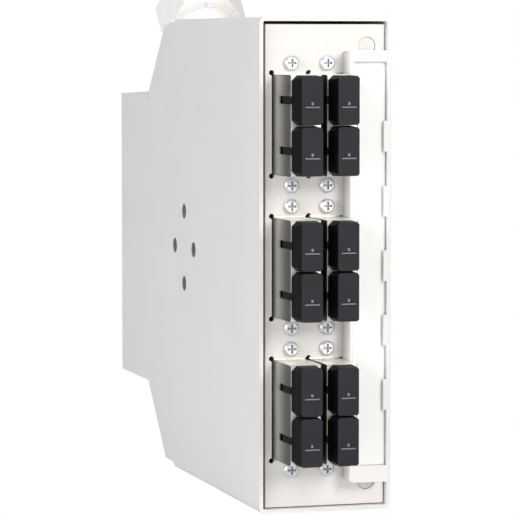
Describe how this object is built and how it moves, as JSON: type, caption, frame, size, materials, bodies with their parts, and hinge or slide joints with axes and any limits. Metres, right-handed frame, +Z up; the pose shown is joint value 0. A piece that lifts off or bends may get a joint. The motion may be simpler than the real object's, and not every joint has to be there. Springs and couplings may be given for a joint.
{
  "type": "din rail fibre box",
  "caption": "Slim steel fibre splice box for a 35 mm rail, with a pull-out drawer of capped duplex adapters, a label holder and a cable gland",
  "frame": {"origin": "middle of the rail seat, on the plane where the rail's flanges touch the clip plate", "axes": "+X across the box to its right side seen from the front, +Y from the front to the rail, +Z up along the box's height"},
  "size_m": [0.035, 0.1686, 0.1414],
  "materials": {
    "painted_sheet": "fine powder coat, matte",
    "zinc_sheet": "zinc plated, satin",
    "spring_steel": "bare spring steel",
    "zinc_screws": "zinc plated, slight shine",
    "adapter_metal": "nickel plated die casting, satin",
    "blue_plastic": "moulded",
    "white_ceramic": "polished",
    "white_plastic": "moulded, fine satin",
    "white_card": "plain card",
    "cream_plastic": "moulded",
    "cap_black": "moulded, soft satin",
    "black_tray": "moulded",
    "clear_lid": "clear moulded",
    "comb_rubber": "soft moulded",
    "splice_plastic": "clear shrink tube",
    "gland_plastic": "moulded polyamide",
    "seal_rubber": "matte"
  },
  "bodies": {
    "housing": {"housing_shell": "painted_sheet", "back_strip": "painted_sheet", "guide_rails": "zinc_sheet", "catch_brackets": "zinc_sheet", "gland_body": "gland_plastic", "gland_gasket": "seal_rubber", "gland_locknut": "gland_plastic", "blanking_plug": "gland_plastic", "plug_gasket": "seal_rubber", "plug_locknut": "gland_plastic", "clip_plate": "zinc_sheet", "clip_screws": "zinc_screws", "press_nuts": "zinc_screws", "latch_spring": "spring_steel"},
    "drawer": {"drawer_plate": "painted_sheet", "adapter_1": "adapter_metal", "adapter_2": "adapter_metal", "adapter_3": "adapter_metal", "adapter_4": "adapter_metal", "adapter_5": "adapter_metal", "adapter_6": "adapter_metal", "sleeve_inserts": "blue_plastic", "alignment_sleeves": "white_ceramic", "adapter_screws": "zinc_screws", "adapter_nuts": "zinc_screws", "label_holder": "white_plastic", "label_strip": "white_card", "snap_pins": "cream_plastic", "splice_cassette": "black_tray", "cassette_lid": "clear_lid", "splice_combs": "comb_rubber", "splice_sleeves": "splice_plastic", "cassette_screws": "zinc_screws"},
    "seal": {"gland_seal": "seal_rubber"},
    "nut": {"gland_nut": "gland_plastic"},
    "latch": {"clip_latch": "zinc_sheet"},
    "cap_1": {"dust_cap_1": "cap_black"},
    "cap_2": {"dust_cap_2": "cap_black"},
    "cap_3": {"dust_cap_3": "cap_black"},
    "cap_4": {"dust_cap_4": "cap_black"},
    "cap_5": {"dust_cap_5": "cap_black"},
    "cap_6": {"dust_cap_6": "cap_black"},
    "cap_7": {"dust_cap_7": "cap_black"},
    "cap_8": {"dust_cap_8": "cap_black"},
    "cap_9": {"dust_cap_9": "cap_black"},
    "cap_10": {"dust_cap_10": "cap_black"},
    "cap_11": {"dust_cap_11": "cap_black"},
    "cap_12": {"dust_cap_12": "cap_black"}
  },
  "joints": [
    {"name": "drawer_slide", "type": "slide", "parent": "housing", "child": "drawer", "axis": [0, -1, 0], "range_m": [0, 0.07]},
    {"name": "seal_travel", "type": "slide", "parent": "housing", "child": "seal", "axis": [0, -0.7071, -0.7071], "range_m": [0, 0.006]},
    {"name": "nut_turn", "type": "hinge", "parent": "seal", "child": "nut", "pos_m": [0, -0.04223, 0.05013], "axis": [0, 0.7071, 0.7071], "range_deg": [-1440, 0]},
    {"name": "latch_slide", "type": "slide", "parent": "housing", "child": "latch", "axis": [0, 0, -1], "range_m": [0, 0.004], "stiffness_N_per_m": 800, "springref_m": -0.002, "deforming": ["latch_spring"]},
    {"name": "cap_1_pull", "type": "slide", "parent": "drawer", "child": "cap_1", "axis": [0, -1, 0], "range_m": [0, 0.012]},
    {"name": "cap_2_pull", "type": "slide", "parent": "drawer", "child": "cap_2", "axis": [0, -1, 0], "range_m": [0, 0.012]},
    {"name": "cap_3_pull", "type": "slide", "parent": "drawer", "child": "cap_3", "axis": [0, -1, 0], "range_m": [0, 0.012]},
    {"name": "cap_4_pull", "type": "slide", "parent": "drawer", "child": "cap_4", "axis": [0, -1, 0], "range_m": [0, 0.012]},
    {"name": "cap_5_pull", "type": "slide", "parent": "drawer", "child": "cap_5", "axis": [0, -1, 0], "range_m": [0, 0.012]},
    {"name": "cap_6_pull", "type": "slide", "parent": "drawer", "child": "cap_6", "axis": [0, -1, 0], "range_m": [0, 0.012]},
    {"name": "cap_7_pull", "type": "slide", "parent": "drawer", "child": "cap_7", "axis": [0, -1, 0], "range_m": [0, 0.012]},
    {"name": "cap_8_pull", "type": "slide", "parent": "drawer", "child": "cap_8", "axis": [0, -1, 0], "range_m": [0, 0.012]},
    {"name": "cap_9_pull", "type": "slide", "parent": "drawer", "child": "cap_9", "axis": [0, -1, 0], "range_m": [0, 0.012]},
    {"name": "cap_10_pull", "type": "slide", "parent": "drawer", "child": "cap_10", "axis": [0, -1, 0], "range_m": [0, 0.012]},
    {"name": "cap_11_pull", "type": "slide", "parent": "drawer", "child": "cap_11", "axis": [0, -1, 0], "range_m": [0, 0.012]},
    {"name": "cap_12_pull", "type": "slide", "parent": "drawer", "child": "cap_12", "axis": [0, -1, 0], "range_m": [0, 0.012]}
  ],
  "couplings": [
    {"joint": "nut_turn", "follows": "seal_travel", "rad_per_m": -4188.8}
  ]
}
